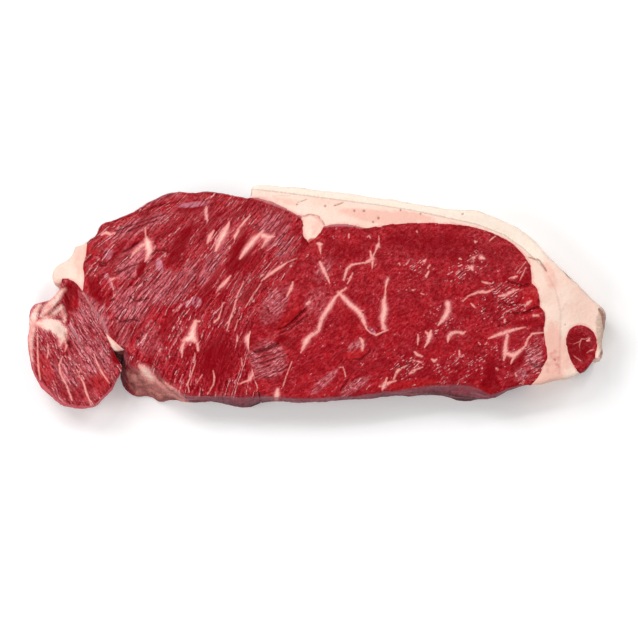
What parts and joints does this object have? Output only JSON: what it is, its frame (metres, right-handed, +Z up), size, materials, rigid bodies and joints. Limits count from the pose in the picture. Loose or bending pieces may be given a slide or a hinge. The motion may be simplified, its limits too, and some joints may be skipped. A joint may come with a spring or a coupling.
{
  "type": "raw beef striploin steak",
  "caption": "Raw beef striploin steak: a flat slab of lean muscle with a curved band of fat along its back and a folded flap at one end.",
  "frame": {"origin": "on the underside, below the middle of the outline's bounding box", "axes": "+X along the steak towards its thin end, +Y towards the edge with the band of fat, +Z up from the underside to the cut face"},
  "size_m": [0.262, 0.1024, 0.0225],
  "materials": {
    "coarse_lean": "moist raw lean meat with coarse diagonal fibres and pale streaks of marbling",
    "fine_lean": "moist raw lean meat, fine grained, dark red with cream marbling",
    "cap_fat": "firm cream fat, pinker inside its thin dividing layer",
    "seam_fat": "soft pinkish cream fat between the muscles",
    "tail_lean": "moist raw lean meat, dark red with thin marbling",
    "side_fat": "soft cream fat",
    "flap_lean": "moist raw flank meat in folded layers with cream fat and pale skin lines"
  },
  "bodies": {
    "root": {"rump_muscle": "coarse_lean", "loin_eye": "fine_lean", "fat_cap": "cap_fat", "seam_fat": "seam_fat", "tail_muscle": "tail_lean", "side_fat": "side_fat", "flap": "flap_lean", "fat_wedge": "seam_fat"}
  },
  "joints": []
}
